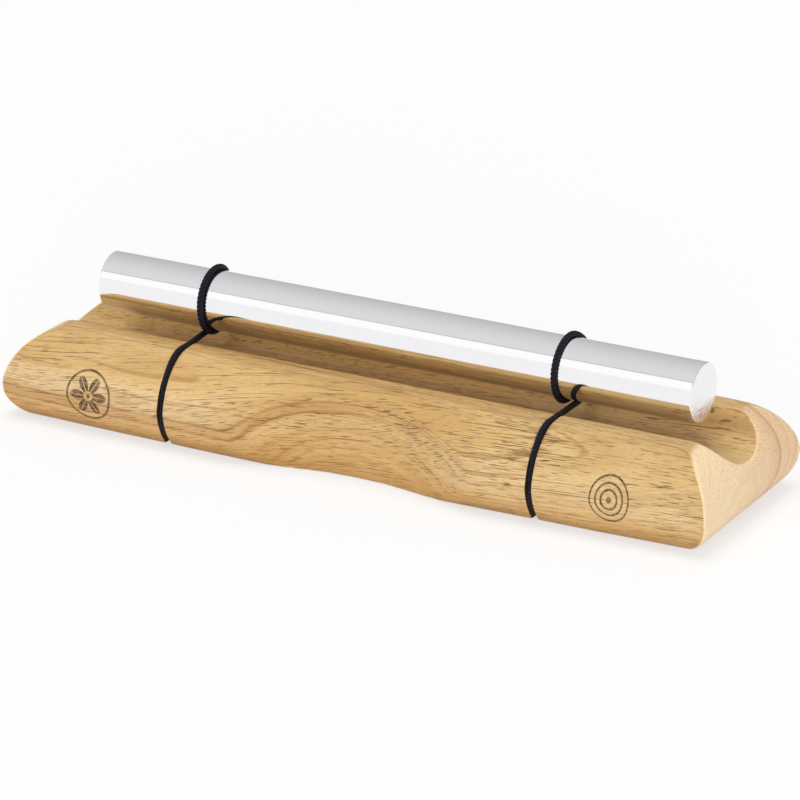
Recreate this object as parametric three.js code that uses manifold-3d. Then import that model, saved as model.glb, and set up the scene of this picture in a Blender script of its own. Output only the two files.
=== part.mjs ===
// Chime bar: a polished aluminium rod slung in two cords over a grooved wooden base.
// Millimetres, +Z up, X along the rod. The origin is the middle of the base's underside.

import * as THREE from 'three';
import { mergeVertices } from 'three/addons/utils/BufferGeometryUtils.js';
import Module from 'manifold-3d';

const wasm = await Module();
wasm.setup();

// Driving sizes of the wooden base
const baseLength = 205.6;
const baseWidth = 61.2; // across the widest line, half way along
const baseHeight = 24.5;
const sideBow = 2; // how much each side draws in at the ends
const sideWaistHeight = 7.6; // height of the widest line of the long sides
const sideTopRound = 14.75; // how far in from the widest line the long sides' top round reaches
const sideFootHeight = 9.5; // height below which the long sides' foot draws in
const sideFootRadius = 10;
const endWaistHeight = 9.2;
const endTopRound = 20.5;
const endFootRadius = 10.2;
const cornerEase = 1.2; // radius of the upright corners, seen from above

// The groove that the rod hangs over
const grooveWidth = 24.6;
const grooveDepth = 9;
const rimEase = 1.4; // rounding of the groove's two long edges
const mouthEase = 2.2; // rounding where the groove runs out through the ends

// The finger scoops in the middle of the long sides
const scoopRadius = 71;
const scoopDepth = 8; // at the widest line
const scoopShift = 3.5; // scoops' middle from the base's middle

// The rod
const rodDiameter = 16;
const rodLength = 173;
const rodChamfer = 0.5;
const rodRise = 7.5; // rod's axis above the top of the base
const rodShift = 1.9; // rod's middle from the base's middle

// The cords, their saw kerfs and the pockets for their knots
const cordDiameter = 1.7;
const cordClearance = 0.2; // cord to wood, and cord to rod
const kerfSpacing = 107.4; // between the two kerfs
const kerfShift = 0.4; // kerfs' middle from the base's middle
const kerfDepth = 2.7; // in the long sides
const kerfSoleDepth = 3.4; // in the underside
const kerfCrestDepth = 1.3; // depth of the kerf's floor at its crest, below the top of the base
const kerfCrestInset = 12.6; // how far in from the widest line the kerf's floor crests
const kerfFootRadius = 5; // bend of the kerf's floor from side to underside
const pocketDiameter = 10.5;
const pocketDepth = 7.2;
const knotDiameter = 5.2;
const knotLength = 6.4;
const cordJoint = 0.5; // between a cord's run in the wood and its sling

// Where each cord's two turns lie beside its kerf's line under the rod, and over it
const leftTurns = { first: -1.8, top: -0.05, second: 0.25 };
const rightTurns = { first: -0.6, top: -3.6, second: -3.7 };

// Parts of a cord's way, as shares
const knotThroatShare = 0.25; // of the knot's length, where the cord enters its level stretch
const skewShares = [0.45, 0.94]; // of the groove's half width, where a span swings to its turn
const turnShares = [0.1, 0.5, 0.9]; // of the turns, where they leave, cross over and settle

// Fineness of the curved faces
const overrun = 1; // how far cutters reach past the wood
const footSteps = 5;
const topSteps = 13;
const cornerSteps = 3;
const sideSteps = 12;
const grooveSteps = 16;
const easeSteps = 5;
const rodSides = 64;
const cordSides = 8;
const runSteps = 64;
const spanSteps = 8;
const turnSteps = 24; // in each full turn round the rod
const slingSteps = 60;
const knotSteps = 10;
const pocketSides = 32;
const scoopSides = 96;
const measureSteps = 900;

// Sizes worked out from the driving ones
const halfLength = baseLength / 2;
const halfWidth = baseWidth / 2;
const halfGroove = grooveWidth / 2;
const rodRadius = rodDiameter / 2;
const rodAxisHeight = baseHeight + rodRise;
const cordRadius = cordDiameter / 2;
const cordLane = cordRadius + cordClearance;
const kerfWidth = 2 * cordLane;
const wrapRadius = rodRadius + cordLane;
const crestY = halfWidth - kerfCrestInset;
const crestHeight = baseHeight - kerfCrestDepth + cordLane;
const kerfLines = [kerfShift - kerfSpacing / 2, kerfShift + kerfSpacing / 2];

const wood = new THREE.MeshStandardMaterial({ color: 0xd3ad78, roughness: 0.6, metalness: 0 });
const aluminium = new THREE.MeshStandardMaterial({ color: 0xdcdcde, roughness: 0.16, metalness: 1 });
const blackCord = new THREE.MeshStandardMaterial({ color: 0x10111a, roughness: 0.85, metalness: 0 });

// A closed geometry as a solid. Triangles that have shrunk to a line are left out.
function solidOf(geometry) {
  const bare = geometry.clone();
  bare.deleteAttribute('normal');
  bare.deleteAttribute('uv');
  const merged = mergeVertices(bare, 1e-5);
  const corners = merged.index.array;
  const kept = [];
  for (let i = 0; i < corners.length; i += 3) {
    const [a, b, c] = [corners[i], corners[i + 1], corners[i + 2]];
    if (a !== b && b !== c && c !== a) {
      kept.push(a, b, c);
    }
  }
  const solid = new wasm.Manifold(new wasm.Mesh({
    numProp: 3,
    vertProperties: new Float32Array(merged.attributes.position.array),
    triVerts: new Uint32Array(kept),
  }));
  if (solid.volume() <= 0) {
    throw new Error('a solid is inside out');
  }
  return solid;
}

function geometryOf(solid) {
  const mesh = solid.getMesh();
  const geometry = new THREE.BufferGeometry();
  geometry.setAttribute('position', new THREE.BufferAttribute(new Float32Array(mesh.vertProperties), 3));
  geometry.setIndex(new THREE.BufferAttribute(new Uint32Array(mesh.triVerts), 1));
  geometry.computeVertexNormals();
  return geometry;
}

// Skins a stack of closed rings that all have the same number of points, and caps both ends.
function loft(rings, capPlane) {
  const count = rings[0].length;
  const positions = rings.flat().flatMap((p) => [p.x, p.y, p.z]);
  const index = [];
  for (let level = 0; level < rings.length - 1; level += 1) {
    for (let i = 0; i < count; i += 1) {
      const a = level * count + i;
      const b = level * count + ((i + 1) % count);
      index.push(a, b, b + count);
      index.push(a, b + count, a + count);
    }
  }
  const last = (rings.length - 1) * count;
  for (const [a, b, c] of THREE.ShapeUtils.triangulateShape(rings[0].map(capPlane), [])) {
    index.push(c, b, a);
    index.push(last + a, last + b, last + c);
  }
  const geometry = new THREE.BufferGeometry();
  geometry.setAttribute('position', new THREE.Float32BufferAttribute(positions, 3));
  geometry.setIndex(index);
  return geometry;
}

// How far a bull-nosed face stands back from its widest line at height z.
function inset(z, waist, topRound, footHeight, footRadius) {
  const rise = THREE.MathUtils.clamp((z - waist) / (baseHeight - waist), 0, 1);
  const drop = THREE.MathUtils.clamp((footHeight - z) / footRadius, 0, 1);
  const above = topRound * (1 - Math.sqrt(1 - rise * rise));
  return Math.max(above, footRadius * (1 - Math.sqrt(1 - drop * drop)));
}

function sideInset(z) {
  return inset(z, sideWaistHeight, sideTopRound, sideFootHeight, sideFootRadius);
}

function endInset(z) {
  return inset(z, endWaistHeight, endTopRound, endWaistHeight, endFootRadius);
}

// How far the long sides draw in towards the ends.
function bowAt(x) {
  const share = x / halfLength;
  return sideBow * share * share;
}

// Heights of the base's rings: close together where its rounds turn fastest.
function ringHeights() {
  const heights = [endWaistHeight];
  for (let i = 0; i < footSteps; i += 1) {
    heights.push(sideWaistHeight * (i / footSteps));
  }
  for (let i = 0; i <= topSteps; i += 1) {
    const angle = (i / topSteps) * (Math.PI / 2);
    heights.push(sideWaistHeight + (baseHeight - sideWaistHeight) * Math.sin(angle));
  }
  return heights.sort((a, b) => a - b);
}

// Outline of the base at height z: bowed sides, straight ends, eased corners.
function baseRing(z) {
  const reachX = halfLength - endInset(z);
  const reachY = halfWidth - sideInset(z);
  const straight = reachX - cornerEase;
  const cornerY = reachY - bowAt(reachX) - cornerEase;
  const corner = [];
  for (let i = 0; i <= cornerSteps; i += 1) {
    const angle = (i / cornerSteps) * (Math.PI / 2);
    corner.push([straight + cornerEase * Math.cos(angle), cornerY + cornerEase * Math.sin(angle)]);
  }
  const side = [];
  for (let i = 1; i < sideSteps; i += 1) {
    const x = straight * (1 - (2 * i) / sideSteps);
    side.push([x, reachY - bowAt(x)]);
  }
  const otherCorner = corner.slice().reverse().map(([x, y]) => [-x, y]);
  const farSide = [...corner, ...side, ...otherCorner];
  const nearSide = farSide.map(([x, y]) => [-x, -y]);
  return [...farSide, ...nearSide].map(([x, y]) => new THREE.Vector3(x, y, z));
}

// Section of the groove from rim to rim: a round trough whose edges roll over onto the top.
// Each point also holds the direction that leads into the wood and how much a mouth widens it.
function grooveSection() {
  const radius = (halfGroove * halfGroove + grooveDepth * grooveDepth) / (2 * grooveDepth);
  const centreZ = baseHeight - grooveDepth + radius;
  const easeZ = baseHeight - rimEase;
  const touch = Math.acos((centreZ - easeZ) / (radius + rimEase));
  const easeY = (radius + rimEase) * Math.sin(touch);
  const half = [];
  for (let i = 0; i <= grooveSteps; i += 1) {
    const angle = touch * (i / grooveSteps);
    const [out, down] = [Math.sin(angle), Math.cos(angle)];
    half.push({ y: radius * out, z: centreZ - radius * down, out, down, widening: 1 });
  }
  for (let i = 1; i <= easeSteps; i += 1) {
    const widening = 1 - i / easeSteps;
    const angle = touch * widening;
    const [out, down] = [Math.sin(angle), Math.cos(angle)];
    half.push({ y: easeY - rimEase * out, z: easeZ + rimEase * down, out, down, widening });
  }
  const otherHalf = half.slice(1).reverse().map((p) => ({ ...p, y: -p.y, out: -p.out }));
  return [...otherHalf, ...half];
}

// A ring of the groove's cutter: the section, widened by flare, at a depth inside a rounded end.
// It is closed above the base by two points over the rims.
function grooveRing(side, depth, flare) {
  const ring = grooveSection().map((p) => {
    const y = p.y + flare * p.widening * p.out;
    const z = p.z - flare * p.widening * p.down;
    return new THREE.Vector3(side * (halfLength - endInset(z) - depth), y, z);
  });
  const above = (p) => new THREE.Vector3(p.x, p.y, baseHeight + overrun);
  return [above(ring[0]), ...ring, above(ring[ring.length - 1])];
}

// The groove's cutter runs the whole length and rolls over into the rounded ends.
function grooveCutter() {
  const endRings = (side) => {
    const rings = [];
    for (let i = 0; i <= easeSteps; i += 1) {
      const angle = (i / easeSteps) * (Math.PI / 2);
      const depth = mouthEase * (1 - Math.cos(angle));
      const flare = mouthEase * (1 - Math.sin(angle));
      rings.push(grooveRing(side, depth, flare));
    }
    const outside = rings[0].map((p) => new THREE.Vector3(side * (halfLength + overrun), p.y, p.z));
    return [outside, ...rings];
  };
  const rings = [...endRings(-1), ...endRings(1).reverse()];
  return solidOf(loft(rings, (p) => new THREE.Vector2(p.y, p.z)));
}

// A standing drum that hollows one long side for the fingers.
function scoopCutter(side) {
  const height = baseHeight + 2 * overrun;
  const drum = new THREE.CylinderGeometry(scoopRadius, scoopRadius, height, scoopSides);
  drum.rotateX(Math.PI / 2);
  drum.translate(scoopShift, side * (halfWidth - scoopDepth + scoopRadius), baseHeight / 2);
  return solidOf(drum);
}

// Where the straight stretch from the near crest meets the turns round the rod, as an angle
// about the rod's axis from the far side.
function meetingAngle() {
  const crest = new THREE.Vector2(-crestY, crestHeight - rodAxisHeight);
  const crestAngle = Math.atan2(crest.y, crest.x) + 2 * Math.PI;
  return crestAngle + Math.acos(wrapRadius / crest.length());
}

// Half of the kerf's floor, from the middle of the underside to the middle of the top, where it
// falls away from its crest as steeply as the cord does.
function kerfFloor() {
  const reach = halfWidth - bowAt(kerfSpacing / 2) - kerfDepth;
  const crest = baseHeight - kerfCrestDepth;
  const bendY = reach - kerfFootRadius;
  const bendZ = kerfSoleDepth + kerfFootRadius;
  const points = [new THREE.Vector2(0, kerfSoleDepth)];
  for (let i = 0; i <= footSteps; i += 1) {
    const angle = (i / footSteps) * (Math.PI / 2);
    const y = bendY + kerfFootRadius * Math.sin(angle);
    points.push(new THREE.Vector2(y, bendZ - kerfFootRadius * Math.cos(angle)));
  }
  for (let i = 1; i <= topSteps; i += 1) {
    const angle = (i / topSteps) * (Math.PI / 2);
    const y = crestY + (reach - crestY) * Math.cos(angle);
    points.push(new THREE.Vector2(y, bendZ + (crest - bendZ) * Math.sin(angle)));
  }
  const fall = crestY * Math.tan((3 * Math.PI) / 2 - meetingAngle());
  points.push(new THREE.Vector2(0, crest - fall));
  return points;
}

// The saw kerf: a thin slab across the base, with its floor's outline left standing.
function kerfCutter(x) {
  const floor = kerfFloor();
  const otherHalf = floor.slice(1, -1).reverse().map((p) => new THREE.Vector2(-p.x, p.y));
  const shape = new THREE.Shape();
  shape.moveTo(-halfWidth - overrun, -overrun);
  shape.lineTo(halfWidth + overrun, -overrun);
  shape.lineTo(halfWidth + overrun, baseHeight + overrun);
  shape.lineTo(-halfWidth - overrun, baseHeight + overrun);
  shape.closePath();
  shape.holes.push(new THREE.Path([...floor, ...otherHalf]));
  const slab = new THREE.ExtrudeGeometry(shape, { depth: kerfWidth, bevelEnabled: false });
  slab.rotateX(Math.PI / 2);
  slab.rotateZ(Math.PI / 2);
  slab.translate(x - kerfWidth / 2, 0, 0);
  return solidOf(slab);
}

// A blind hole from below that takes a cord's knot.
function pocketCutter(x) {
  const radius = pocketDiameter / 2;
  const drill = new THREE.CylinderGeometry(radius, radius, pocketDepth + overrun, pocketSides);
  drill.rotateX(Math.PI / 2);
  drill.translate(x, 0, (pocketDepth - overrun) / 2);
  return solidOf(drill);
}

function makeBase() {
  let solid = solidOf(loft(ringHeights().map(baseRing), (p) => new THREE.Vector2(p.x, p.y)));
  const cutters = [grooveCutter(), scoopCutter(-1), scoopCutter(1)];
  for (const x of kerfLines) {
    cutters.push(kerfCutter(x), pocketCutter(x));
  }
  for (const cutter of cutters) {
    solid = solid.subtract(cutter);
  }
  return geometryOf(solid);
}

// The rod, turned with a small chamfer at each end and laid along X.
function makeRod() {
  const end = rodLength / 2;
  const rod = new THREE.LatheGeometry([
    new THREE.Vector2(0, -end),
    new THREE.Vector2(rodRadius - rodChamfer, -end),
    new THREE.Vector2(rodRadius, rodChamfer - end),
    new THREE.Vector2(rodRadius, end - rodChamfer),
    new THREE.Vector2(rodRadius - rodChamfer, end),
    new THREE.Vector2(0, end),
  ], rodSides);
  rod.rotateZ(-Math.PI / 2);
  rod.translate(rodShift, 0, rodAxisHeight);
  return geometryOf(solidOf(rod));
}

// A closed round tube along a curve.
function cordTube(curve, steps) {
  const circle = new THREE.Shape();
  circle.absarc(0, 0, cordRadius, 0, 2 * Math.PI);
  const settings = { steps, bevelEnabled: false, extrudePath: curve, curveSegments: cordSides / 2 };
  return new THREE.ExtrudeGeometry(circle, settings);
}

// A cord's way in its kerf at x: from the near crest down the side, through the knot's pocket
// and up to the far crest.
function runCurve(x) {
  const floor = kerfFloor();
  const half = [];
  for (let i = 1; i < floor.length - 2; i += 1) {
    const along = new THREE.Vector2().subVectors(floor[i + 1], floor[i - 1]).normalize();
    half.push(new THREE.Vector3(x, floor[i].x + cordLane * along.y, floor[i].y - cordLane * along.x));
  }
  half.push(new THREE.Vector3(x, crestY + cordJoint / 2, crestHeight));
  const knotHeight = knotDiameter / 2 + cordClearance;
  const throat = [
    new THREE.Vector3(x, pocketDiameter / 2, half[0].z),
    new THREE.Vector3(x, knotLength * knotThroatShare, knotHeight),
  ];
  const farHalf = [...throat.reverse(), ...half];
  const nearHalf = farHalf.slice().reverse().map((p) => new THREE.Vector3(p.x, -p.y, p.z));
  return new THREE.CatmullRomCurve3([...nearHalf, ...farHalf]);
}

// The knot, a swelling of the cord.
function makeKnot(x) {
  const profile = [];
  for (let i = 0; i <= knotSteps; i += 1) {
    const angle = (i / knotSteps) * Math.PI;
    const [across, along] = [Math.sin(angle), -Math.cos(angle)];
    profile.push(new THREE.Vector2((knotDiameter / 2) * across, (knotLength / 2) * along));
  }
  const knot = new THREE.LatheGeometry(profile, 2 * knotSteps);
  knot.translate(x, 0, knotDiameter / 2 + cordClearance);
  return knot;
}

function makeRun(x) {
  return geometryOf(solidOf(cordTube(runCurve(x), runSteps)).add(solidOf(makeKnot(x))));
}

// A cord's way between the crests: in from the near side under the rod, once round it, under
// it again beside the first turn, and out to the far side.
function slingCurve(x, turns) {
  const start = meetingAngle();
  const end = 5 * Math.PI - start;
  const onWrap = (angle, offset) => {
    const y = wrapRadius * Math.cos(angle);
    return new THREE.Vector3(x + offset, y, rodAxisHeight + wrapRadius * Math.sin(angle));
  };
  const span = (side, angle, offset) => {
    const crest = new THREE.Vector3(x, side * (crestY - cordJoint / 2), crestHeight);
    const meeting = onWrap(angle, 0);
    const points = [];
    for (let i = 0; i < spanSteps; i += 1) {
      const point = crest.clone().lerp(meeting, i / spanSteps);
      const [inner, outer] = skewShares.map((share) => share * halfGroove);
      point.x += offset * (1 - THREE.MathUtils.smoothstep(Math.abs(point.y), inner, outer));
      points.push(point);
    }
    return points;
  };
  const turnCount = Math.round((turnSteps * (end - start)) / (2 * Math.PI));
  const wrap = [];
  for (let i = 0; i <= turnCount; i += 1) {
    const share = i / turnCount;
    const [leave, cross, settle] = turnShares;
    const early = THREE.MathUtils.smoothstep(share, leave, cross);
    const late = THREE.MathUtils.smoothstep(share, cross, settle);
    const offset = turns.first + (turns.top - turns.first) * early + (turns.second - turns.top) * late;
    wrap.push(onWrap(start + (end - start) * share, offset));
  }
  const near = span(-1, start, turns.first);
  const far = span(1, end, turns.second).reverse();
  return new THREE.CatmullRomCurve3([...near, ...wrap, ...far]);
}

// The least gap that a cord keeps to itself, measured on points of its way.
function leastSelfGap(curve) {
  const points = curve.getSpacedPoints(measureSteps);
  const skip = Math.ceil((3 * cordDiameter * measureSteps) / curve.getLength());
  let least = Infinity;
  for (let i = 0; i < points.length; i += 1) {
    for (let j = i + skip; j < points.length; j += 1) {
      least = Math.min(least, points[i].distanceTo(points[j]));
    }
  }
  return least - cordDiameter;
}

function makeSling(x, turns) {
  const curve = slingCurve(x, turns);
  console.log(`sling at ${x}: least gap to itself ${leastSelfGap(curve).toFixed(2)} mm`);
  return geometryOf(solidOf(cordTube(curve, slingSteps)));
}

function addPiece(group, name, geometry, material) {
  const piece = new THREE.Mesh(geometry, material);
  piece.name = name;
  group.add(piece);
}

const chimeBar = new THREE.Group();
addPiece(chimeBar, 'base', makeBase(), wood);
addPiece(chimeBar, 'rod', makeRod(), aluminium);
addPiece(chimeBar, 'left_cord_run', makeRun(kerfLines[0]), blackCord);
addPiece(chimeBar, 'left_cord_sling', makeSling(kerfLines[0], leftTurns), blackCord);
addPiece(chimeBar, 'right_cord_run', makeRun(kerfLines[1]), blackCord);
addPiece(chimeBar, 'right_cord_sling', makeSling(kerfLines[1], rightTurns), blackCord);

export default chimeBar;
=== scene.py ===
"""Chime bar: a polished aluminium rod slung in two twisted cords over a grooved wooden base."""
import math

import bpy
import numpy as np
from mathutils import Matrix, Vector


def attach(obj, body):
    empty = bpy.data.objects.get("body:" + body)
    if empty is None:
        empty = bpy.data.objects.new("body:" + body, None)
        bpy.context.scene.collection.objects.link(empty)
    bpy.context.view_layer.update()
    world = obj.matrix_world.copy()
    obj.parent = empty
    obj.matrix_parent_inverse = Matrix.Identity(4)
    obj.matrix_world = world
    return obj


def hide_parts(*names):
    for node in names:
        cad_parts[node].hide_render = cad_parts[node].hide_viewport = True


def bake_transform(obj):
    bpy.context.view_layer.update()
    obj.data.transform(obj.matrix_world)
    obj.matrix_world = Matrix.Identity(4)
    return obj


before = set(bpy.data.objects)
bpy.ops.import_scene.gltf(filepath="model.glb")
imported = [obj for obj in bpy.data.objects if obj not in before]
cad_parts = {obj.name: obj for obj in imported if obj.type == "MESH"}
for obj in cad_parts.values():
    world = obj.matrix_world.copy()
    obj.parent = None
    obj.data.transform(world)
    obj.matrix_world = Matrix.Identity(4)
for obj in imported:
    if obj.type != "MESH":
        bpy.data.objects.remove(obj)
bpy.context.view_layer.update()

MM = 0.001


# --- Sizes of the object, in millimetres ---

# The block. Its sides bow in towards the ends. A waist is the height of an edge's widest line, a round
# is how far in the rounding above it reaches, and a foot is the radius of the rounding below it.
LENGTH, WIDTH, HEIGHT = 205.6, 61.2, 24.5
SIDE_BOW = 2.0
SIDE_WAIST, SIDE_ROUND, SIDE_FOOT_HEIGHT, SIDE_FOOT = 7.6, 14.75, 12.0, 17.5
END_WAIST, END_ROUND, END_FOOT = 9.2, 20.5, 10.2

# The ends were sanded by hand: the left one is fuller about its near corner and foot, the right one
# about the groove.
LEFT_WAIST, LEFT_CORNER_WAIST, LEFT_CORNER_ROUND = 5.0, 6.5, 17.0
LEFT_FOOT_HEIGHT, LEFT_FOOT = 7.5, 8.0
RIGHT_ROUND, RIGHT_CORNER_ROUND = 13.4, 16.0

# The groove, the scoops, and how far the edges where surfaces meet are eased.
GROOVE_WIDTH, GROOVE_DEPTH = 24.6, 8.3
GROOVE_RADIUS = (GROOVE_WIDTH ** 2 / 4 + GROOVE_DEPTH ** 2) / (2 * GROOVE_DEPTH)
GROOVE_CENTRE = HEIGHT - GROOVE_DEPTH + GROOVE_RADIUS
SCOOP_RADIUS, SCOOP_DEPTH, SCOOP_SHIFT = 80.0, 8.0, 1.5
RIM_EASE, MOUTH_EASE, MITRE_EASE, SCOOP_EASE, SOLE_EASE = 1.4, 0.8, 0.7, 1.3, 0.4

ROD_RADIUS, ROD_LENGTH, ROD_SHIFT, ROD_HEIGHT = 8.0, 173.0, 1.9, 32.0
ROD_SIDES, EDGE_BREAK, END_INSETS = 160, 0.5, (0.6, 2.4, 3.2)

# The kerfs. Their floor follows the sides and the sole, and falls from a crest to the groove's middle.
KERFS = {"left": -53.3, "right": 54.1}
KERF_DISTANCE = (KERFS["right"] - KERFS["left"]) / 2
KERF_HALF_WIDTH, KERF_SIDE_DEPTH, KERF_SOLE_DEPTH = 0.9, 2.5, 3.4
KERF_REACH = WIDTH / 2 - SIDE_BOW * (2 * KERF_DISTANCE / LENGTH) ** 2 - KERF_SIDE_DEPTH
KERF_FOOT = 5.0
KERF_BEND = KERF_SOLE_DEPTH + KERF_FOOT
CREST_Y, KERF_CREST = 18.0, 23.2
KERF_FALL = 1.325 / CREST_Y

# The cords. Each one's middle lies a lane above the kerf's floor. Its turn round the rod leaves the kerf's
# line by three offsets along X: where it meets the rod, on top of it, and where it leaves it. The spans
# take up the first and last offset between the place where they are clear of the kerf and the rod.
CORD_LANE = 0.95
CREST_HEIGHT = KERF_CREST + CORD_LANE
WRAP_RADIUS = ROD_RADIUS + 0.64
TURNS = {"left": (-1.8, -0.05, 0.25), "right": (-0.6, -3.6, -3.7)}
TURN_START_Y = 14.5
STRANDS, STRAND_RADIUS, STRAND_OFFSET, TWIST_PITCH, STRAND_SIDES = 3, 0.43, 0.42, 3.45, 10
PATH_STEP, KNOT_PATH_STEP = 0.25, 0.3
BEARING_GAP = 0.03
POCKET_RADIUS, POCKET_DEPTH = 5.25, 7.2
KNOT_HEIGHT = 2.8
TAIL_BENDS = ((0.6, 0.9, 0.0), (1.6, 1.6, -0.3), (2.6, 1.2, -0.8), (3.5, 0.3, -1.3))

# The base's mesh: the steps of its lines, how far the finer ones reach beside a kerf and on the rims,
# how many lines half the groove and the height take, and how far out they stay square to the length.
LENGTH_STEP, KERF_EDGE_STEP, RIM_STEP, SIDE_STEP = 0.82, 0.3, 0.4, 0.8
KERF_EDGE, RIM_END = 1.0, 16.0
HALF_GROOVE_LINES, HEIGHT_LINES = 20, 33
SQUARE_TO = 60.0


# --- Working with pieces ---

def deselect():
    bpy.ops.object.select_all(action="DESELECT")


def choose(piece):
    deselect()
    piece.select_set(True)
    bpy.context.view_layer.objects.active = piece


def apply_place(piece):
    """Moves a piece's place, turn and scale into its mesh."""
    choose(piece)
    bpy.ops.object.transform_apply(location=True, rotation=True, scale=True)


def apply_modifiers(piece):
    choose(piece)
    for modifier in list(piece.modifiers):
        bpy.ops.object.modifier_apply(modifier=modifier.name)


def mesh_points(mesh):
    """The corners of a mesh in millimetres."""
    points = np.empty(len(mesh.vertices) * 3)
    mesh.vertices.foreach_get("co", points)
    return points.reshape(-1, 3) / MM


def set_mesh_points(mesh, points):
    mesh.vertices.foreach_set("co", np.ascontiguousarray(points * MM, dtype=np.float32).ravel())
    mesh.update()


def dress(piece, body, node, finish):
    """Gives a finished piece its body, the solid it stands in for and its finish."""
    piece.data.materials.clear()
    piece.data.materials.append(finish.material)
    if body:
        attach(piece, body)
    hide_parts(node)


# --- Shader sums ---

class Value:
    """A socket of a finish's nodes, used in sums as if it were a number."""

    def __init__(self, finish, socket):
        self.finish = finish
        self.socket = socket

    def maths(self, operation, *others):
        return self.finish.node("ShaderNodeMath", dict(enumerate((self, *others))), operation=operation)

    def __add__(self, other):
        return self.maths("ADD", other)

    __radd__ = __add__

    def __sub__(self, other):
        return self.maths("SUBTRACT", other)

    def __rsub__(self, other):
        return self.maths("MULTIPLY_ADD", -1.0, other)

    def __mul__(self, other):
        return self.maths("MULTIPLY", other)

    def __truediv__(self, other):
        return self.maths("DIVIDE", other)

    def __neg__(self):
        return self.maths("MULTIPLY", -1.0)

    def __pow__(self, exponent):
        return self.maths("POWER", exponent)

    def __abs__(self):
        return self.maths("ABSOLUTE")

    def most(self, other):
        return self.maths("MAXIMUM", other)

    def least(self, other):
        return self.maths("MINIMUM", other)

    def ramp(self, low, high, start=0.0, end=1.0, smooth=True):
        """start below low, end above high, and a smooth or straight way between them."""
        kind = "SMOOTHSTEP" if smooth else "LINEAR"
        inputs = {"Value": self, "From Min": low, "From Max": high, "To Min": start, "To Max": end}
        return self.finish.node("ShaderNodeMapRange", inputs, interpolation_type=kind, clamp=True)

    def fade(self, low, high):
        """1 below low and 0 above high."""
        return self.ramp(low, high, 1.0, 0.0)


class Nodes:
    """The nodes of a material or of the studio's surroundings."""

    def __init__(self, tree):
        self.tree = tree

    def node(self, kind, inputs=None, out=0, stops=None, **settings):
        node = self.tree.nodes.new(kind)
        for key, value in settings.items():
            setattr(node, key, value)
        if stops:
            elements = node.color_ramp.elements
            while len(elements) < len(stops):
                elements.new(0.5)
            for element, (position, colour) in zip(elements, stops):
                element.position = position
                element.color = (*colour, 1.0)
        for key, value in (inputs or {}).items():
            self.feed(node.inputs[key], value)
        return Value(self, node.outputs[out])

    def feed(self, socket, value):
        if isinstance(value, Value):
            self.tree.links.new(value.socket, socket)
        elif isinstance(value, tuple) and len(value) == 3 and len(socket.default_value) == 4:
            socket.default_value = (*value, 1.0)
        else:
            socket.default_value = value

    def parts(self, vector):
        split = self.node("ShaderNodeSeparateXYZ", {0: vector})
        return [Value(self, socket) for socket in split.socket.node.outputs]

    def noise(self, x, y, z=0.0, detail=1.0, roughness=0.5, distortion=0.0):
        """Noise of 0 to 1; the places are divided by the size of its patches."""
        spot = self.node("ShaderNodeCombineXYZ", {0: x, 1: y, 2: z})
        inputs = {"Vector": spot, "Scale": 1.0, "Detail": detail, "Roughness": roughness,
                  "Distortion": distortion}
        return self.node("ShaderNodeTexNoise", inputs)

    def mix(self, share, first, second):
        """A colour between two colours."""
        return self.node("ShaderNodeMix", {0: share, 6: first, 7: second}, out=2, data_type="RGBA")


class Finish(Nodes):
    """One material of the object."""

    def __init__(self, name, **constants):
        self.material = bpy.data.materials.new(name)
        self.material.use_nodes = True
        super().__init__(self.material.node_tree)
        self.shader = self.tree.nodes["Principled BSDF"]
        for key, value in constants.items():
            self.set(key.replace("_", " "), value)

    def set(self, key, value):
        self.feed(self.shader.inputs[key], value)

    def place(self):
        """Where a point lies on the object, in millimetres."""
        return [part * (1 / MM) for part in self.parts(self.node("ShaderNodeTexCoord", out="Object"))]

    def facing_end(self, low, high):
        """Share by which a surface faces along the object: none below low, all above high."""
        return abs(self.parts(self.node("ShaderNodeTexCoord", out="Normal"))[0]).ramp(low, high)

    def relief(self, height, depth):
        """Sets a bump from a height of 0 to 1 that stands for a depth in millimetres."""
        inputs = {"Height": height, "Distance": depth * MM, "Strength": 1.0}
        self.set("Normal", self.node("ShaderNodeBump", inputs))


def srgb(red, green, blue):
    """A colour from its display values of 0 to 255."""
    def linear(value):
        share = value / 255
        return share / 12.92 if share <= 0.04045 else ((share + 0.055) / 1.055) ** 2.4
    return (linear(red), linear(green), linear(blue))


# --- The wood ---

# The growth rings' heart lies under the base, near its middle. The rings drift along the length and
# wander; beyond the middle they stand upright, set off from the near ones, and bend over near the floor.
HEART_Y, HEART_Z = -3.5, -2.7
RING_DRIFT, RING_WANDER = 0.02, 1.9
FAR_RINGS, FAR_BEND_HEIGHT, FAR_BEND = 14.8, 17.0, 0.035
DARK_RING_INNER, DARK_RING_OUTER = 28.0, 29.7

# Lengths round the heart are taken at this radius.
FIBRE_RADIUS = 32.0

# Rings that show on the ends: their place across, their breadth and their strength.
END_LINES = ((17.4, 1.1, 0.44), (22.6, 0.7, 0.2), (27.0, 0.7, 0.34))

# The burnt ornaments: their middles along and up, and their sizes.
ROSETTE_MIDDLE, ROSETTE_RADIUS, PETALS = (-75.3, 10.6), 7.0, 6
RIPPLES_MIDDLE, RIPPLES = (76.4, 11.2), ((2.2, 0.16), (3.7, 0.13), (5.3, 0.1))


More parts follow.
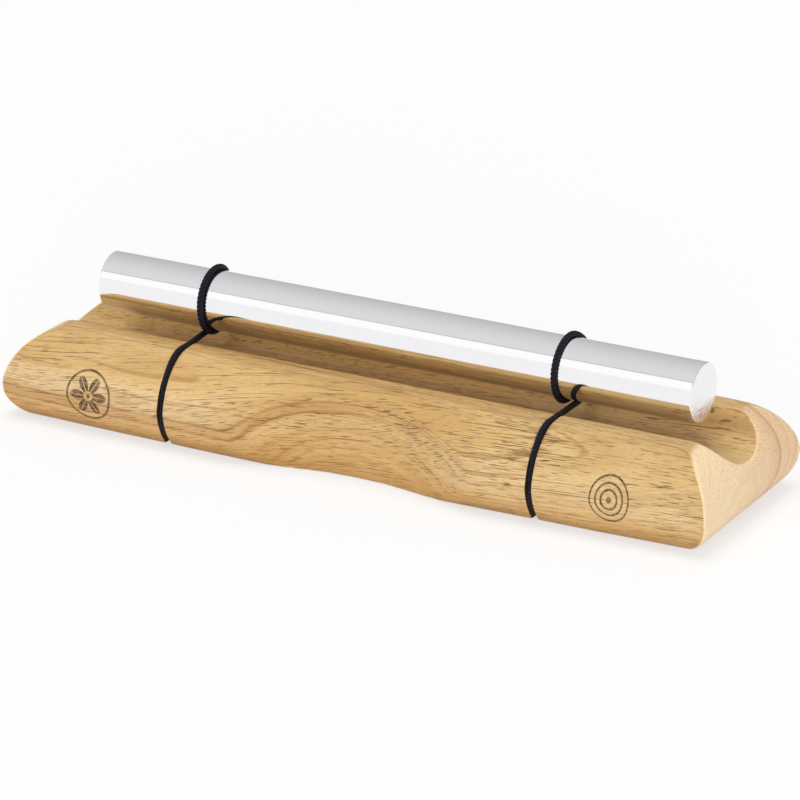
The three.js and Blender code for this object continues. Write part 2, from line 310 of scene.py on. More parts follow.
def rosette(x, z):
    """Share of a burnt rosette of veined petals in a ring."""
    across, up = x - ROSETTE_MIDDLE[0], z - ROSETTE_MIDDLE[1]
    distance = (across * across + up * up).maths("SQRT")
    turn = up.maths("ARCTAN2", across) * (PETALS / 2)
    petal = abs(turn.maths("COSINE")) ** 0.62 * (ROSETTE_RADIUS * 0.78)
    vein = abs(turn.maths("SINE")) * distance
    leaf = (petal - distance).ramp(-0.22, 0.22) * vein.ramp(0.18, 0.5) * distance.ramp(1.15, 1.5)
    ring = abs(distance - ROSETTE_RADIUS * 0.93).fade(0.16, 0.42)
    return leaf.most(ring).most(distance.fade(0.5, 0.75))


def ripples(x, z):
    """Share of a burnt mark of spreading rings, as round a drop on water."""
    across, up = x - RIPPLES_MIDDLE[0], z - RIPPLES_MIDDLE[1]
    distance = (across * across + up * up * 0.8).maths("SQRT")
    mark = distance.fade(0.6, 0.85)
    for radius, width in RIPPLES:
        mark = mark.most(abs(distance - radius).fade(width, width + 0.24))
    return mark


def long_grain(finish, place, near, straight, wander, band):
    """The wood's colour along the grain, its fibres, and how deep its pores lie."""
    x, y, z = place
    ring = straight + wander

    # One dark ring between two thin lines, and many faint ones.
    dark_ring = (straight.ramp(DARK_RING_INNER - 0.6, DARK_RING_INNER + 0.2)
                 * straight.fade(DARK_RING_OUTER - 0.1, DARK_RING_OUTER + 0.9))
    line = straight + wander * 0.3
    arc = abs(line - DARK_RING_INNER).fade(0.05, 0.3).most(abs(line - DARK_RING_OUTER).fade(0.05, 0.26))
    strength = finish.noise(x / 14, y / 10, z / 10, detail=1).ramp(0.35, 0.6, 0.25, 1.0)
    arc = arc * strength * x.ramp(-10, 15, 1.0, 0.3)
    faint = finish.noise(x / 75, ring / 0.3, (y + z) / 16, detail=1).ramp(0.6, 0.7)

    # The fibres climb to the right, steeply over the left half and gently over the right.
    lift = x.ramp(-110, 25, 0.0, 20.0) + x.ramp(20, 105, 0.0, 6.0, smooth=False)
    around = (z - HEART_Z).maths("ARCTAN2", HEART_Y - y) * FIBRE_RADIUS - lift
    layer = near * y.ramp(-2, 6, 0.5, 2.2)
    fibre = finish.noise(x / 5, around / 0.32, layer / 0.8, detail=2, roughness=0.65)
    mottle = finish.noise(x / 1.6, around / 0.55, near / 0.8, detail=2, roughness=0.7)
    cloud = finish.noise(x / 30, around / 7, near / 9, detail=2)

    # Pores are dashes along the fibres and come in belts; some run on as long thin streaks.
    belt = finish.noise(x / 30, ring / 1.1, 7.0, detail=1) - 0.5
    dash = finish.noise(x / 4.2, around / 0.25, layer / 0.7, detail=0.4)
    pore = (dash + belt * 0.32).ramp(0.64, 0.72)
    run = finish.noise(x / 34, around / 0.28, near / 1.2, detail=0.6)
    streak = (run + belt * 0.14).ramp(0.65, 0.71)

    # Parts of the sides are paler. The groove is darker with painted shade under the rod, most of all near
    # its far rim, and the rims and upper sides get a little painted shade too.
    pale = z.ramp(3, 8) * z.fade(13, 18) * (x.ramp(-50, -20, 0.65, 0.05) + x.ramp(15, 45, 0.0, 0.5))
    hollow = abs(y).fade(10, 13)
    # Painted shade on the groove's floor under the rod, fading out towards the groove's ends.
    groove_floor_painted_shade = hollow * x.ramp(-90, -50, 0.0, 0.34) * x.ramp(78, 96, 1.0, 0.2)
    # Painted shade along the groove's far wall under its rim, strongest at the right end.
    far_rim_painted_shade = hollow * y.ramp(6, 11) * x.ramp(70, 90, 0.3, 0.62)

    side = finish.mix(band.ramp(0.3, 0.72), srgb(230, 196, 136), srgb(203, 160, 94))
    for share, tone in (
            (pale, srgb(243, 217, 174)),
            (x.ramp(25, 60) * 0.45, srgb(238, 210, 154)),
            (dark_ring * x.ramp(-10, 10, 0.5, 0.1), srgb(186, 134, 70)),
            (groove_floor_painted_shade, srgb(172, 122, 66)),
            (far_rim_painted_shade, srgb(140, 92, 46)),
            # Painted shade: the upper sides and rims outside the groove a little darker, as shaded by the
            # rod.
            ((1.0 - hollow) * z.ramp(16, 22) * 0.16, srgb(186, 142, 74)),
            (cloud.ramp(0.48, 0.75) * 0.4, srgb(190, 144, 82)),
            (faint * 0.5, srgb(160, 112, 60)),
            ((fibre - 0.5) * 1.2 + 0.2, srgb(192, 146, 84)),
            ((mottle - 0.5) * 1.3, srgb(170, 124, 68)),
            (arc * 0.7, srgb(132, 86, 44)),
            (streak * 0.74, srgb(118, 77, 38)),
            (pore * x.ramp(-30, 40, 0.68, 0.84), srgb(118, 78, 38))):
        side = finish.mix(share, side, tone)
    return side, fibre, pore * 0.5 + streak * 0.22


def end_grain(finish, place, far, wander, band):
    """The wood's colour on the ends: fine specks where pores are cut across, and a few soft rings."""
    x, y, z = place
    speck = finish.noise(x / 0.9, y / 0.34, z / 0.34, detail=2, roughness=0.7)
    grain = finish.mix(y.ramp(-20, 24), srgb(253, 227, 184), srgb(240, 206, 160))
    for share, tone in (
            (band.ramp(0.35, 0.75) * 0.3, srgb(226, 182, 132)),
            (far.ramp(11, 17) * far.ramp(17.2, 17.8, 0.45, 0.0), srgb(216, 170, 128)),
            (speck.ramp(0.5, 0.68) * y.ramp(-16, 16, 0.5, 0.85), srgb(206, 154, 112)),
            (speck.ramp(0.3, 0.44, 0.5, 0.0), srgb(255, 240, 212))):
        grain = finish.mix(share, grain, tone)
    for middle, breadth, strength in END_LINES:
        line = abs(far + wander * 0.5 - middle).ramp(breadth * 0.2, breadth, strength, 0.0)
        grain = finish.mix(line, grain, srgb(184, 130, 88))
    return grain


def wood_finish():
    """Sanded and oiled hardwood, straight in the grain with brown pores, paler on the ends."""
    finish = Finish("oiled_hardwood", Specular_IOR_Level=0.42)
    place = x, y, z = finish.place()
    end = finish.facing_end(0.2, 0.44) * abs(x).ramp(58, 72)

    # The growth rings lie round their heart; on the far side they stand upright.
    near = ((y - HEART_Y) * (y - HEART_Y) + (z - HEART_Z) * (z - HEART_Z)).maths("SQRT")
    bend = (FAR_BEND_HEIGHT - z).most(0.0)
    far = y + bend * bend * FAR_BEND
    wander = (finish.noise(x / 60, y / 26, z / 26, detail=2, roughness=0.4) - 0.5) * RING_WANDER
    rings = finish.node("ShaderNodeMix", {0: y.ramp(-5, 7), 2: near, 3: far + FAR_RINGS})
    straight = rings - x * RING_DRIFT
    band = finish.noise(x / 150, (straight + wander) / 1.7, 3.0, detail=3, roughness=0.6)

    side, fibre, pits = long_grain(finish, place, near, straight, wander, band)
    colour = finish.mix(end, side, end_grain(finish, place, far, wander, band))

    # The wood is darker and warmer towards the floor.
    colour = finish.mix(z.ramp(4.0, 12.0, 0.24, 0.0) * (1.0 - end * 0.8), colour, srgb(196, 142, 64))
    colour = finish.mix(z.ramp(-0.5, 6.0, 0.42, 0.0) * (1.0 - end * 0.6), colour, srgb(168, 118, 60))

    # Painted shade: the kerfs' walls are painted near black, for the deep shade inside the slots.
    off_line = abs(x - KERFS["left"]).least(abs(x - KERFS["right"]))
    sawn = (off_line.fade(KERF_HALF_WIDTH + 0.01, KERF_HALF_WIDTH + 0.05)
            * abs(y).ramp(GROOVE_WIDTH / 2, GROOVE_WIDTH / 2 + 0.5))
    colour = finish.mix(sawn * 0.94, colour, srgb(48, 34, 24))

    # Two plain ornaments are burnt into the near side.
    mark = rosette(x, z).most(ripples(x, z)) * y.fade(-12, -11)
    scorch = finish.noise(x / 1.4, y / 0.4, z / 0.4, detail=2).ramp(0.3, 0.7, 1.0, 0.62)
    colour = finish.mix(mark * scorch, colour, srgb(78, 50, 26))

    finish.set("Base Color", colour)
    finish.set("Roughness", 0.5 + (fibre - 0.5) * 0.2 - end * 0.03 + mark * 0.12 + sawn * 0.3)
    finish.relief(0.6 - pits + (fibre - 0.5) * 0.35 - mark * 0.6, depth=0.07)
    return finish


# --- The metal and the cord ---

def aluminium_finish():
    """Drawn and polished aluminium, with faint draw lines; the sawn ends are only rubbed smooth."""
    finish = Finish("polished_aluminium", Base_Color=(0.895, 0.895, 0.905, 1), Metallic=1.0)
    x, y, z = finish.place()
    end = finish.facing_end(0.8, 0.95)
    drawn = finish.noise(x / 30, y / 0.35, z / 0.35, detail=1)
    sawn = finish.noise(y / 0.9, z / 0.5, detail=2)
    torn = finish.noise(y / 1.3, z / 1.1, detail=3, distortion=1.5) * z.ramp(27.0, 30.5, 45.0, 0.0)
    haze = finish.noise(x / 14, y / 4, z / 4, detail=2)
    finish.set("Roughness", 0.035 + haze.ramp(0.4, 0.8) * 0.05 + end * 0.16)
    finish.relief(drawn * (1.0 - end) * 0.25 + (sawn + torn) * end, depth=0.006)
    return finish


def cord_finish():
    """Black polyester cord of three strands; paler navy threads are a painted cool sheen along them."""
    finish = Finish("black_cord", Specular_IOR_Level=0.28)
    along, across, _ = finish.parts(finish.node("ShaderNodeTexCoord", out="UV"))
    thread = finish.noise(along * 1.1 + across * 5.0, across * 14.0, detail=2)
    # Painted sheen: noise mixes the black with a paler navy, standing for the cord's cool shine along its
    # threads.
    finish.set("Base Color", finish.mix(thread.ramp(0.35, 0.7), srgb(5, 6, 10), srgb(20, 24, 38)))
    finish.set("Roughness", 0.42 + thread * 0.2)
    finish.relief(thread, depth=0.05)
    return finish


# --- The base's surface as a formula ---

def eased(first, second, ease):
    """The greater of two distances, rounded by ease where they meet."""
    corner = np.hypot(np.maximum(first + ease, 0), np.maximum(second + ease, 0)) - ease
    return np.where((first > -ease) & (second > -ease), corner, np.maximum(first, second))


def quarter(across, up, reach, rise):
    """About the distance outside an ellipse of the given reach and rise."""
    size = np.hypot(across / reach, up / rise)
    slope = np.hypot(across / reach ** 2, up / rise ** 2) / np.maximum(size, 1e-6)
    return (size - 1) / np.maximum(slope, 1e-6)


def bull_nose(beyond, z, waist, round_reach, foot_height, foot):
    """Distance outside a bull-nosed edge, from how far beyond its widest line a point lies."""
    inward = beyond + round_reach
    height = np.maximum(z - waist, 0)
    above = np.where(inward > 0, quarter(np.maximum(inward, 1e-6), height, round_reach, HEIGHT - waist),
                     z - HEIGHT)
    below = np.hypot(np.maximum(beyond + foot, 0), np.maximum(foot_height - z, 0)) - foot
    return np.maximum(above, below)


def beyond_block(points):
    """Distance outside the wood before its kerfs and pockets are cut."""
    x, y, z = points.T
    bow = SIDE_BOW * (2 * x / LENGTH) ** 2
    side = bull_nose(np.abs(y) - WIDTH / 2 + bow, z, SIDE_WAIST, SIDE_ROUND, SIDE_FOOT_HEIGHT, SIDE_FOOT)
    left = x < 0
    left_waist = np.interp(y, [-24, -12, 12, 24], [LEFT_CORNER_WAIST, LEFT_WAIST, LEFT_WAIST, END_WAIST])
    left_round = np.interp(y, [-12, 0], [LEFT_CORNER_ROUND, END_ROUND])
    right_round = np.interp(y, [-26, -12, 12, 26], [RIGHT_CORNER_ROUND, RIGHT_ROUND, RIGHT_ROUND, END_ROUND])
    end = bull_nose(np.abs(x) - LENGTH / 2, z,
                    np.where(left, left_waist, END_WAIST), np.where(left, left_round, right_round),
                    np.where(left, LEFT_FOOT_HEIGHT, END_WAIST), np.where(left, LEFT_FOOT, END_FOOT))
    groove = GROOVE_RADIUS - np.hypot(y, z - GROOVE_CENTRE)
    scoop = SCOOP_RADIUS - np.hypot(x - SCOOP_SHIFT, np.abs(y) - (WIDTH / 2 - SCOOP_DEPTH + SCOOP_RADIUS))
    side = eased(side, scoop, SCOOP_EASE)
    side = eased(side, groove, RIM_EASE)
    end = eased(end, groove, MOUTH_EASE)
    return eased(eased(side, end, MITRE_EASE), -z, SOLE_EASE)


def beyond_floor(points):
    """Distance outside the floor of the kerfs."""
    y, z = np.abs(points[:, 1]), points[:, 2]
    rim = quarter(np.maximum(y - CREST_Y, 1e-6), z - KERF_BEND, KERF_REACH - CREST_Y, KERF_CREST - KERF_BEND)
    top = np.where(y > CREST_Y, rim, z - KERF_CREST + KERF_FALL * (CREST_Y - y))
    foot = np.hypot(np.maximum(y - KERF_REACH + KERF_FOOT, 0), z - KERF_BEND) - KERF_FOOT
    return np.where(z > KERF_BEND, top, foot)


def outward(points, field, keep_x=None):
    """The slope of a field, with none along x where keep_x is true."""
    slope = np.empty_like(points)
    for axis in range(3):
        step = np.zeros(3)
        step[axis] = 0.01
        slope[:, axis] = (field(points + step) - field(points - step)) / 0.02
    if keep_x is not None:
        slope[keep_x, 0] = 0
    return slope


def settle(points, field, strides, keep_x=None):
    """Moves points onto the surface where a field is nothing, by at most a stride at a time."""
    for stride in strides:
        slope = outward(points, field, keep_x)
        reach = np.clip(field(points) / np.maximum((slope ** 2).sum(1), 0.05), -stride, stride)
        points = points - slope * reach[:, None]
    return points


# --- The base ---

def spaced(*stretches):
    """Places along a line, from stretches of start, end and step."""
    places = []
    for start, end, step in stretches:
        places.extend(np.linspace(start, end, max(1, round(abs(end - start) / step)) + 1)[:-1])
    return np.array(places + [stretches[-1][1]])


def base_stations():
    """Where the base's mesh lines run along, across and up."""
    stretches, done = [], -LENGTH / 2
    for kerf in KERFS.values():
        low, high = kerf - KERF_HALF_WIDTH, kerf + KERF_HALF_WIDTH
        before, after = low - KERF_EDGE, high + KERF_EDGE
        stretches += [(done, before, LENGTH_STEP), (before, low, KERF_EDGE_STEP),
                      (low, high, high - low), (high, after, KERF_EDGE_STEP)]
        done = after
    along = spaced(*stretches, (done, LENGTH / 2, LENGTH_STEP))
    angle = np.linspace(0, math.asin(GROOVE_WIDTH / 2 / GROOVE_RADIUS), HALF_GROOVE_LINES)
    beside = spaced((GROOVE_WIDTH / 2, RIM_END, RIM_STEP), (RIM_END, WIDTH / 2, SIDE_STEP))
    half = np.r_[GROOVE_RADIUS * np.sin(angle), beside[1:]]
    across = np.r_[-half[:0:-1], half]
    return along, across, np.linspace(0, HEIGHT, HEIGHT_LINES)


def block_mesh(along, across, up):
    """A closed block whose faces are grids on the given lines."""
    sheets = []
    counts = len(along) - 1, len(across) - 1, len(up) - 1
    quarter_turn = math.pi / 2
    for turn, place, (first, second) in (
            ((0, 0, 0), (0, 0, 1), (0, 1)), ((math.pi, 0, 0), (0, 0, -1), (0, 1)),
            ((quarter_turn, 0, 0), (0, -1, 0), (0, 2)), ((-quarter_turn, 0, 0), (0, 1, 0), (0, 2)),
            ((0, quarter_turn, 0), (1, 0, 0), (2, 1)), ((0, -quarter_turn, 0), (-1, 0, 0), (2, 1))):
        deselect()
        bpy.ops.mesh.primitive_grid_add(x_subdivisions=counts[first], y_subdivisions=counts[second], size=2,
                                        location=place, rotation=turn)
        sheets.append(bpy.context.active_object)
    deselect()
    for sheet in sheets:
        sheet.select_set(True)
    bpy.context.view_layer.objects.active = sheets[0]
    bpy.ops.object.join()
    block = bpy.context.active_object
    apply_place(block)
    bpy.ops.object.mode_set(mode="EDIT")
    bpy.ops.mesh.select_all(action="SELECT")
    bpy.ops.mesh.remove_doubles(threshold=1e-4)
    bpy.ops.mesh.normals_make_consistent(inside=False)
    bpy.ops.object.mode_set(mode="OBJECT")
    points = mesh_points(block.data) * MM
    lines = [np.interp(points[:, axis], np.linspace(-1, 1, len(places)), places)
             for axis, places in enumerate((along, across, up))]
    set_mesh_points(block.data, np.stack(lines, axis=1))
    return block


def from_kerf(points):
    """How far along the length points lie from the middle of the nearer kerf."""
    return np.minimum(abs(points[:, 0] - KERFS["left"]), abs(points[:, 0] - KERFS["right"]))


def cut_kerfs(base):
    """Extrudes the strips of the kerfs inwards to their floor and eases their rims."""
    choose(base)
    bpy.ops.object.mode_set(mode="EDIT")
    bpy.ops.mesh.select_mode(type="FACE")
    bpy.ops.mesh.select_all(action="DESELECT")
    bpy.ops.object.mode_set(mode="OBJECT")
    centres = np.empty(len(base.data.polygons) * 3)
    base.data.polygons.foreach_get("center", centres)
    centres = centres.reshape(-1, 3) / MM
    base.data.polygons.foreach_set("select", (from_kerf(centres) < 0.5) & (beyond_floor(centres) > 0.04))
    bpy.ops.object.mode_set(mode="EDIT")
    bpy.ops.mesh.extrude_region()
    bpy.ops.object.mode_set(mode="OBJECT")
    points = mesh_points(base.data)
    sunk = np.empty(len(points), dtype=bool)
    base.data.vertices.foreach_get("select", sunk)
    floor = points[sunk]
    points[sunk] = settle(floor, beyond_floor, [1.5] * 4 + [0.5] * 6, keep_x=np.ones(len(floor), bool))

    # The mesh lines at and beside the saw's edges sink a little into the wood, the first one most.
    distance = from_kerf(points)
    rim = ~sunk & (distance < KERF_HALF_WIDTH + 0.4) & (beyond_floor(points) > 0.35)
    drop = np.interp(distance[rim], [KERF_HALF_WIDTH, KERF_HALF_WIDTH + 0.32], [0.2, 0.03])
    slope = outward(points[rim], beyond_block)
    slope /= np.maximum(np.linalg.norm(slope, axis=1), 1e-6)[:, None]
    points[rim] -= slope * drop[:, None]
    set_mesh_points(base.data, points)


def cut_pockets(base):
    """Drills the knots' pockets from below, from some way under the wood."""
    run_up = 3
    for kerf in KERFS.values():
        deselect()
        bpy.ops.mesh.primitive_cylinder_add(
            vertices=64, radius=POCKET_RADIUS * MM, depth=(POCKET_DEPTH + run_up) * MM,
            location=(kerf * MM, 0, (POCKET_DEPTH - run_up) / 2 * MM))
        drill = bpy.context.active_object
        apply_place(drill)
        cut = base.modifiers.new("pocket", "BOOLEAN")
        cut.operation, cut.object, cut.solver = "DIFFERENCE", drill, "EXACT"
        apply_modifiers(base)
        bpy.data.objects.remove(drill)


def make_base(finish):
    """The wooden base: a block of fine mesh lines settled on its shape, then sawn and drilled."""
    base = block_mesh(*base_stations())
    base.name = "wooden_base"
    points = mesh_points(base.data)
    x, y, z = points.T
    top = (z > HEIGHT - 0.01) & (abs(y) < GROOVE_WIDTH / 2 - 0.01)
    points[top, 2] = GROOVE_CENTRE - np.sqrt(GROOVE_RADIUS ** 2 - y[top] ** 2)
    points = settle(points, beyond_block, [2.0] * 8 + [0.5] * 12, keep_x=abs(x) < SQUARE_TO)
    set_mesh_points(base.data, points)
    cut_kerfs(base)
    cut_pockets(base)
    choose(base)
    bpy.ops.object.shade_smooth_by_angle(angle=math.radians(55))
    dress(base, "stand", "base", finish)


# --- The rod ---

def make_rod(finish):
    """The sounding rod, turned, with its ends' edges just broken and its end faces flat."""
    deselect()
    bpy.ops.mesh.primitive_cylinder_add(
        vertices=ROD_SIDES, radius=ROD_RADIUS * MM, depth=ROD_LENGTH * MM,
        location=(ROD_SHIFT * MM, 0, ROD_HEIGHT * MM), rotation=(0, math.pi / 2, 0))
    rod = bpy.context.active_object
    rod.name = "sounding_rod"
    apply_place(rod)
    bpy.ops.object.mode_set(mode="EDIT")
    bpy.ops.mesh.select_mode(type="EDGE")
    bpy.ops.mesh.select_all(action="DESELECT")
    bpy.ops.object.mode_set(mode="OBJECT")
    for edge in rod.data.edges:
        ends = [rod.data.vertices[i].co.x for i in edge.vertices]
        edge.select = abs(ends[0] - ends[1]) < 1e-6
    bpy.ops.object.mode_set(mode="EDIT")
    bpy.ops.mesh.bevel(offset=EDGE_BREAK * MM, segments=3, affect="EDGES")
    bpy.ops.mesh.select_mode(type="FACE")
    bpy.ops.mesh.select_all(action="DESELECT")
    bpy.ops.object.mode_set(mode="OBJECT")
    for face in rod.data.polygons:
        face.select = abs(face.normal.x) > 0.99
    bpy.ops.object.mode_set(mode="EDIT")
    for width in END_INSETS:
        bpy.ops.mesh.inset(thickness=width * MM, use_individual=False)
    bpy.ops.object.mode_set(mode="OBJECT")
    bpy.ops.object.shade_smooth_by_angle(angle=math.radians(35))
    dress(rod, "bar", "rod", finish)


# --- The cords ---

def smooth(value, low, high):
    """0 below low, 1 above high, and a smooth way between them."""
    share = np.clip((value - low) / (high - low), 0, 1)
    return share * share * (3 - 2 * share)


def cord_way(side):
    """Points of a whole cord, from its knot over the near crest, round the rod and back.

    With them come the places in that list at which its stretches end.
    """
    kerf, (first, top, second) = KERFS[side], TURNS[side]

    # A run, under the wood and up its side: distances from the middle, and heights.
    angle = np.linspace(0, math.pi / 2, 12)
    foot = np.c_[KERF_REACH - KERF_FOOT + (KERF_FOOT + CORD_LANE) * np.sin(angle),
                 KERF_BEND - (KERF_FOOT + CORD_LANE) * np.cos(angle)]
    reach, rise = KERF_REACH - CREST_Y, KERF_CREST - KERF_BEND
    angle = np.linspace(0, math.pi / 2, 22)[1:]
    rim = np.c_[CREST_Y + reach * np.cos(angle), KERF_BEND + rise * np.sin(angle)]
    away = np.c_[np.cos(angle) / reach, np.sin(angle) / rise]
    rim += CORD_LANE * away / np.linalg.norm(away, axis=1)[:, None]
    under = foot[0, 1]
    run = np.r_[[(0.9, KNOT_HEIGHT + 0.1), (2.2, KNOT_HEIGHT - 0.1), (POCKET_RADIUS, under)],
                np.c_[np.linspace(8, foot[0, 0] - 1.5, 8), np.full(8, under)], foot, rim]
    near_run = np.c_[np.full(len(run), kerf), -run[:, 0], run[:, 1]]
    far_run = (near_run * (1, -1, 1))[::-1]

    # The turn, between the two places where a straight span from a crest just meets the rod.
    crest = np.array([-CREST_Y, CREST_HEIGHT - ROD_HEIGHT])
    start = math.atan2(crest[1], crest[0]) + 2 * math.pi + math.acos(WRAP_RADIUS / np.hypot(*crest))
    share = np.linspace(0, 1, 110)
    angle = start + (5 * math.pi - 2 * start) * share
    offset = first + (top - first) * smooth(share, 0.1, 0.5) + (second - top) * smooth(share, 0.5, 0.9)
    turns = np.c_[kerf + offset, WRAP_RADIUS * np.cos(angle), ROD_HEIGHT + WRAP_RADIUS * np.sin(angle)]

    def span(meeting, offset, way):
        """A straight way from a crest to the rod, aside of the kerf's line once it is clear of the kerf."""
        share = np.linspace(0, 1, 24)[1:-1, None]
        points = np.array([kerf, way * CREST_Y, CREST_HEIGHT]) * (1 - share) + meeting * share
        turned = (TURN_START_Y - np.abs(points[:, 1])) / (TURN_START_Y - abs(meeting[1]))
        points[:, 0] = kerf + offset * np.clip(turned, 0, 1)
        return points

    near_span = span(turns[0], first, -1)
    far_span = span(turns[-1], second, 1)[::-1]
    marks = np.cumsum([len(near_run), len(near_span), len(turns), len(far_span)])
    return np.r_[near_run, near_span, turns, far_span, far_run], marks


def even_path(way, step, marks=(), rounds=6):
    """Points at even steps along a way, smoothed, and the steps at which its stretches end."""
    length = np.r_[0, np.cumsum(np.linalg.norm(np.diff(way, axis=0), axis=1))]
    count = int(round(length[-1] / step))
    places = np.linspace(0, length[-1], count + 1)
    path = np.stack([np.interp(places, length, way[:, axis]) for axis in range(3)], axis=1)
    for _ in range(rounds):
        path[1:-1] = (path[:-2] + 2 * path[1:-1] + path[2:]) / 4
    return path, [int(round(length[mark] / length[-1] * count)) for mark in marks]


def carried_frame(path):
    """Two directions across a path that turn with it as little as they can."""
    tangent = np.gradient(path, axis=0)
    tangent /= np.linalg.norm(tangent, axis=1)[:, None]
    first = np.empty_like(path)
    across = np.cross(tangent[0], (1.0, 0.0, 0.0))
    first[0] = across / np.linalg.norm(across)
    for i in range(1, len(path)):
        across = first[i - 1] - tangent[i] * (first[i - 1] @ tangent[i])
        first[i] = across / np.linalg.norm(across)
    return first, np.cross(tangent, first)


def twisted_cord(name, path, start, end, taper=0):
    """A stretch of stranded cord along a path, its ends closed.

    The twist is counted from the path's start. A taper narrows that many of the path's last steps.
    """
    first, second = carried_frame(path)
    length = np.r_[0, np.cumsum(np.linalg.norm(np.diff(path, axis=0), axis=1))]
    size = np.full(len(path), STRAND_RADIUS)
    if taper:
        size *= 0.35 + 0.65 * np.sqrt(np.clip((len(path) - 1 - np.arange(len(path))) / taper, 0, 1))
    stretch = np.arange(start, end + 1)
    sides = STRAND_SIDES
    around = np.linspace(0, 2 * math.pi, sides, endpoint=False)[None, :, None]
    points, faces, marks = [], [], []
    for number in range(STRANDS):
        phase = 2 * math.pi * (length / TWIST_PITCH + number / STRANDS)
        middle = path + STRAND_OFFSET * (first * np.cos(phase)[:, None] + second * np.sin(phase)[:, None])
        way = np.gradient(middle, axis=0)
        way /= np.linalg.norm(way, axis=1)[:, None]
        level = first - way * (first * way).sum(1)[:, None]
        level /= np.linalg.norm(level, axis=1)[:, None]
        up = np.cross(way, level)
        ring = middle[stretch, None] + size[stretch, None, None] * (
            level[stretch, None] * np.cos(around) + up[stretch, None] * np.sin(around))
        foot = number * len(stretch) * sides
        points.append(ring.reshape(-1, 3))
        for i, (low, high) in enumerate(zip(length[stretch[:-1]], length[stretch[1:]])):
            for k in range(sides):
                a, b = foot + i * sides + k, foot + i * sides + (k + 1) % sides
                faces.append((a, b, b + sides, a + sides))
                this, following = k / sides, (k + 1) / sides
                marks.extend([(low, this), (low, following), (high, following), (high, this)])
        for i, turn in ((0, -1), (len(stretch) - 1, 1)):
            faces.append(tuple(foot + i * sides + k for k in range(sides))[::turn])
            marks.extend([(length[stretch[i]], k / sides) for k in range(sides)])
    mesh = bpy.data.meshes.new(name)
    mesh.from_pydata((np.concatenate(points) * MM).tolist(), [], faces)
    layer = mesh.uv_layers.new(name="thread")
    layer.data.foreach_set("uv", np.array(marks, dtype=np.float32).ravel())
    mesh.polygons.foreach_set("use_smooth", np.ones(len(mesh.polygons), dtype=bool))
    piece = bpy.data.objects.new(name, mesh)
    bpy.context.scene.collection.objects.link(piece)
    return piece


def knot_way(kerf):
    """The way of a tight overhand knot."""
    turn = np.linspace(0.15, 2 * math.pi - 0.15, 90)
    across = -np.sin(3 * turn)
    along = np.sin(turn) + 2 * np.sin(2 * turn)
    up = np.cos(turn) - 2 * np.cos(2 * turn)
    return np.c_[kerf + 1.3 * across, 0.78 * along, KNOT_HEIGHT + 0.54 * up]


def press_on_rod(piece):
    """Flattens a cord where it bears on the rod."""
    points = mesh_points(piece.data)
    out = np.hypot(points[:, 1], points[:, 2] - ROD_HEIGHT)
    stretch = np.maximum((ROD_RADIUS + BEARING_GAP) / np.maximum(out, 1.0), 1.0)
    points[:, 1] *= stretch
    points[:, 2] = ROD_HEIGHT + (points[:, 2] - ROD_HEIGHT) * stretch
    set_mesh_points(piece.data, points)


def make_cord(side, finish):
    """One cord: its runs in the kerf, its spans to the rod, its turns and its knot."""
    kerf = KERFS[side]
    way, marks = cord_way(side)
    path, (near_crest, near_meeting, far_meeting, far_crest) = even_path(way, PATH_STEP, marks)
    run_node, sling_node = side + "_cord_run", side + "_cord_sling"
    for name, start, end, body, node in (
            ("near_run", 0, near_crest, "stand", run_node),
            ("near_span", near_crest, near_meeting, None, sling_node),
            ("turns", near_meeting, far_meeting, "slings", sling_node),
            ("far_span", far_meeting, far_crest, None, sling_node),
            ("far_run", far_crest, len(path) - 1, "stand", run_node)):
        piece = twisted_cord(side + "_cord_" + name, path, start, end)
        if node == sling_node:
            press_on_rod(piece)
        dress(piece, body, node, finish)
        if body is None:
            crest, meeting = (start, end) if name == "near_span" else (end, start)
            tuple(path[crest] * MM)
            tuple(path[meeting] * MM)
            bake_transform(piece)
    knot_path, _ = even_path(knot_way(kerf), KNOT_PATH_STEP, rounds=2)
    knot = twisted_cord(side + "_cord_knot", knot_path, 0, len(knot_path) - 1)
    dress(knot, "stand", run_node, finish)
    for name, sign in (("near_tail", -1), ("far_tail", 1)):
        bends = np.array(TAIL_BENDS) * (sign, sign, 1) + (kerf, 0, KNOT_HEIGHT)
        tail_path, _ = even_path(bends, PATH_STEP, rounds=4)
        tail = twisted_cord(side + "_cord_" + name, tail_path, 0, len(tail_path) - 1, taper=3)
        dress(tail, "stand", run_node, finish)


# --- Camera, floor and light ---

# The camera's place in metres, its angles in degrees and its focal length, given in the picture's pixels.
CAMERA_PLACE = (0.61695, -1.14197, 0.52795)
CAMERA_AZIMUTH, CAMERA_ELEVATION = 28.3146, 21.6203
FOCAL_PIXELS, PICTURE_WIDTH, SENSOR_WIDTH = 5375.6, 800, 36.0

FLOOR_GLOW = 0.62

# The greys that polished metal sees round the object's length, by angle in degrees: 0 is level on the
# near side, and 90 is straight up. They make a white wall in front and a greyer ceiling above it.
GREYS = ((-180, 0.52), (-120, 0.8), (-60, 1.0), (20, 0.98), (25, 1.1), (49.2, 1.1),
         (49.9, 0.58), (52, 0.62), (55, 0.79), (80, 0.77), (130, 0.64), (175, 0.52))


def set_camera():
    """A long lens at the photograph's place, looking down on the near side from the right."""
    azimuth, elevation = math.radians(CAMERA_AZIMUTH), math.radians(CAMERA_ELEVATION)
    forward = Vector((-math.sin(azimuth) * math.cos(elevation), math.cos(azimuth) * math.cos(elevation),
                      -math.sin(elevation)))
    right = Vector((math.cos(azimuth), math.sin(azimuth), 0.0))
    data = bpy.data.cameras.new("camera")
    data.sensor_width = SENSOR_WIDTH
    data.lens = FOCAL_PIXELS / PICTURE_WIDTH * SENSOR_WIDTH
    data.clip_start, data.clip_end = 0.1, 20.0
    camera = bpy.data.objects.new("camera", data)
    bpy.context.scene.collection.objects.link(camera)
    turn = Matrix((right, right.cross(forward), -forward)).transposed().to_4x4()
    camera.matrix_world = Matrix.Translation(Vector(CAMERA_PLACE)) @ turn
    bpy.context.scene.camera = camera


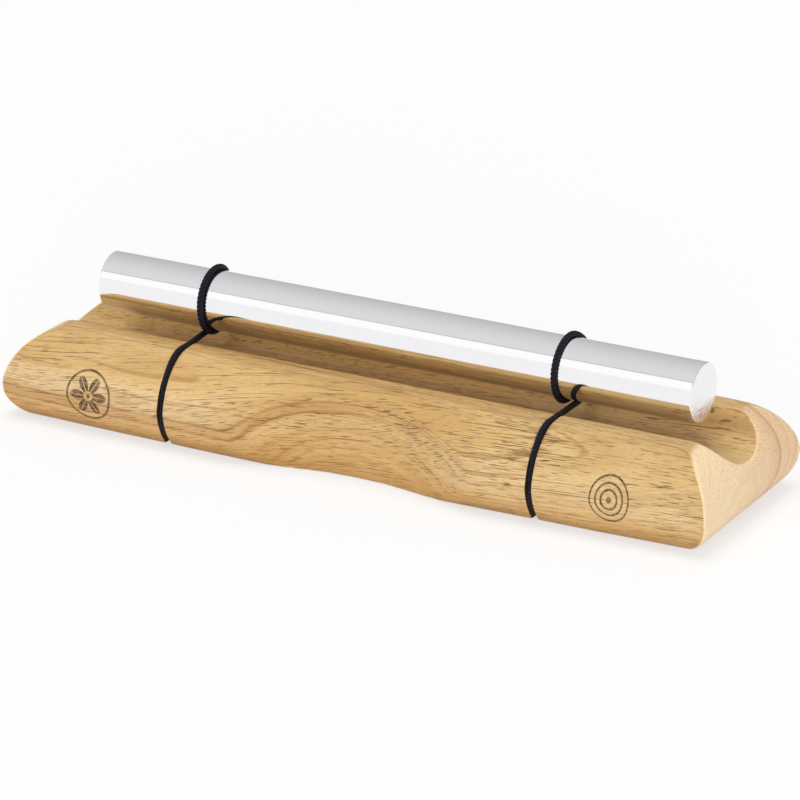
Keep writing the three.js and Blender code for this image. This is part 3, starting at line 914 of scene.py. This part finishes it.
def make_floor():
    """A matt white floor; the camera and the polished rod see it lit partly from within."""
    deselect()
    bpy.ops.mesh.primitive_plane_add(size=8, location=(0, 0, 0))
    floor = bpy.context.active_object
    floor.name = "floor"
    finish = Finish("white_floor", Base_Color=(*srgb(252, 252, 252), 1), Roughness=0.95,
                    Specular_IOR_Level=0.1)
    ray = finish.node("ShaderNodeLightPath").socket.node.outputs
    seen = Value(finish, ray["Is Camera Ray"]).most(Value(finish, ray["Is Glossy Ray"]))
    glow = finish.node("ShaderNodeEmission", {"Color": (1.0, 1.0, 1.0), "Strength": 1.0})
    lit = Value(finish, finish.shader.outputs[0])
    blend = finish.node("ShaderNodeMixShader", {0: seen * FLOOR_GLOW, 1: lit, 2: glow})
    finish.feed(finish.tree.nodes["Material Output"].inputs["Surface"], blend)
    floor.data.materials.append(finish.material)


def sun(name, towards, strength, spread):
    """Light from afar that shines in a direction, its disc a spread of degrees wide."""
    data = bpy.data.lights.new(name, "SUN")
    data.energy = strength
    data.angle = math.radians(spread)
    light = bpy.data.objects.new(name, data)
    light.rotation_euler = Vector(towards).to_track_quat("-Z", "Y").to_euler()
    light.visible_glossy = False
    bpy.context.scene.collection.objects.link(light)


def set_surroundings(strength):
    """Even white light all round; mirror rays see the greys instead, at full strength."""
    world = bpy.data.worlds.new("studio")
    bpy.context.scene.world = world
    world.use_nodes = True
    nodes = Nodes(world.node_tree)
    _, y, z = nodes.parts(nodes.node("ShaderNodeTexCoord", out="Generated"))
    angle = z.maths("ARCTAN2", -y) * (180 / math.pi)
    stops = [((degrees + 180) / 360, (tone, tone * 0.99, tone)) for degrees, tone in GREYS]
    grey = nodes.node("ShaderNodeValToRGB", {0: angle.ramp(-180, 180, smooth=False)}, stops=stops)
    ray = nodes.node("ShaderNodeLightPath").socket.node.outputs
    camera, glossy = Value(nodes, ray["Is Camera Ray"]), Value(nodes, ray["Is Glossy Ray"])
    background = world.node_tree.nodes["Background"]
    nodes.feed(background.inputs["Color"], nodes.mix(glossy, (1.0, 1.0, 1.0), grey))
    nodes.feed(background.inputs["Strength"], glossy.most(camera) * (1.0 - strength) + strength)


set_camera()
wood, aluminium, cord = wood_finish(), aluminium_finish(), cord_finish()
make_base(wood)
make_rod(aluminium)
for side in KERFS:
    make_cord(side, cord)
make_floor()
sun("key", towards=(0.12, -0.05, -1.0), strength=1.25, spread=35)
sun("fill", towards=(-0.55, 1.0, -0.1), strength=1.45, spread=30)
set_surroundings(strength=0.55)
bpy.context.scene.view_settings.view_transform = "Standard"
